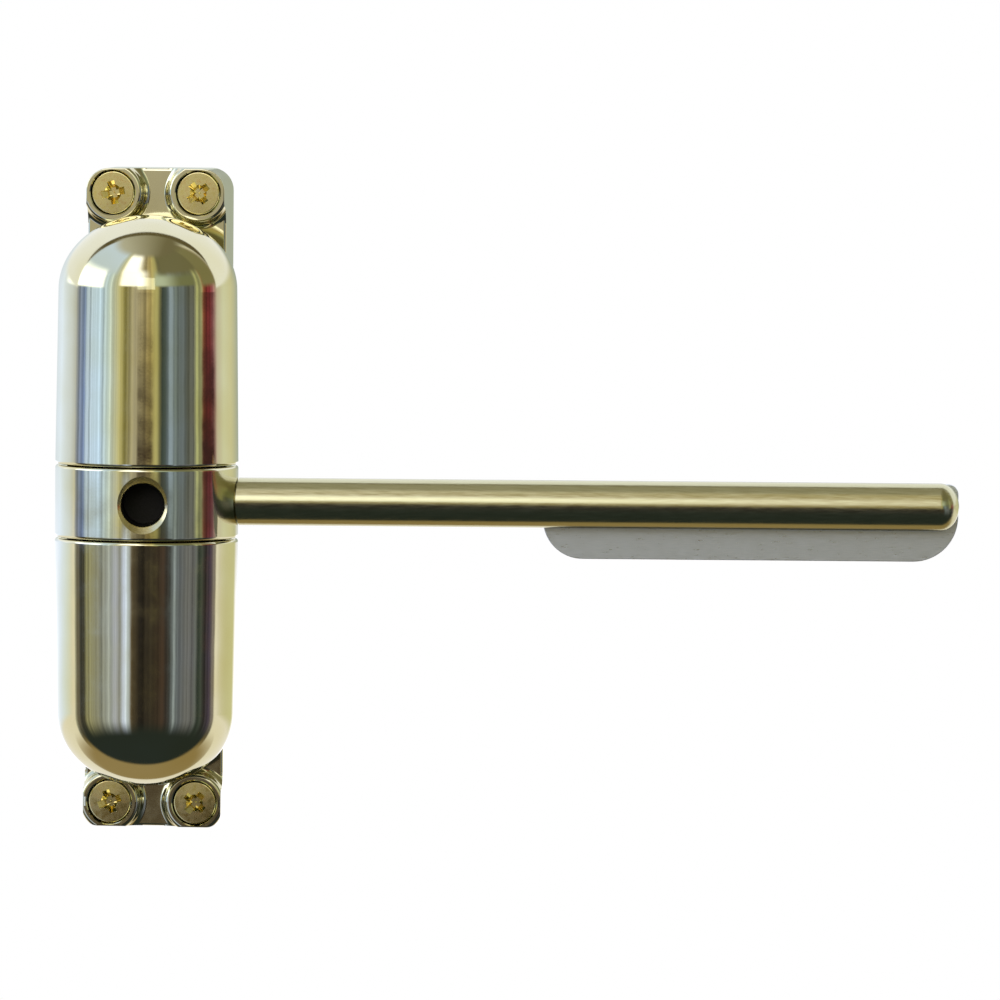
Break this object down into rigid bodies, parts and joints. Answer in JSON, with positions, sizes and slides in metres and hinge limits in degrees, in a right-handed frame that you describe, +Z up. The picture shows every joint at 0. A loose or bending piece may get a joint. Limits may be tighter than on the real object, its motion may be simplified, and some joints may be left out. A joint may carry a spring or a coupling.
{
  "type": "door closer",
  "caption": "Surface-mounted spring door closer: domed casings on a back plate, with a sprung collar between them that carries a round arm and slide plate.",
  "frame": {"origin": "centre of the back plate's wall face", "axes": "+Z up along the spindle, +X towards the arm, +Y into the wall"},
  "size_m": [0.1799, 0.0408, 0.1324],
  "materials": {
    "brass_plate": "polished plating",
    "gold_screw": "bright plated",
    "nickel_plate": "satin nickel",
    "plain_steel": "machined",
    "spring_steel": "oiled",
    "bearing_bronze": "sintered",
    "washer_nylon": "matte"
  },
  "bodies": {
    "fixed_body": {"mounting_base": "brass_plate", "upper_casing": "brass_plate", "lower_casing": "brass_plate", "spindle": "plain_steel", "upper_left_mounting_screw": "gold_screw", "upper_right_mounting_screw": "gold_screw", "lower_left_mounting_screw": "gold_screw", "lower_right_mounting_screw": "gold_screw", "upper_casing_screw_inner": "plain_steel", "upper_casing_screw_outer": "plain_steel", "lower_casing_screw_inner": "plain_steel", "lower_casing_screw_outer": "plain_steel", "upper_spring_anchor": "plain_steel", "lower_spring_anchor": "plain_steel", "upper_anchor_pin": "plain_steel", "lower_anchor_pin": "plain_steel", "upper_torsion_spring": "spring_steel", "lower_torsion_spring": "spring_steel", "upper_circlip": "spring_steel", "lower_circlip": "spring_steel", "upper_thrust_washer": "washer_nylon", "lower_thrust_washer": "washer_nylon"},
    "swinging_arm": {"arm_collar": "brass_plate", "upper_collar_bush": "bearing_bronze", "lower_collar_bush": "bearing_bronze", "arm_rod": "brass_plate", "slide_plate": "nickel_plate", "slide_plate_rivet_inner": "plain_steel", "slide_plate_rivet_outer": "plain_steel"}
  },
  "joints": [
    {"name": "arm_swing", "type": "hinge", "parent": "fixed_body", "child": "swinging_arm", "pos_m": [0, -0.0225, 0], "axis": [0, 0, -1], "range_deg": [0, 180], "stiffness_Nm_per_rad": 2.25, "springref_deg": -28.65, "deforming": ["upper_torsion_spring", "lower_torsion_spring"]}
  ]
}
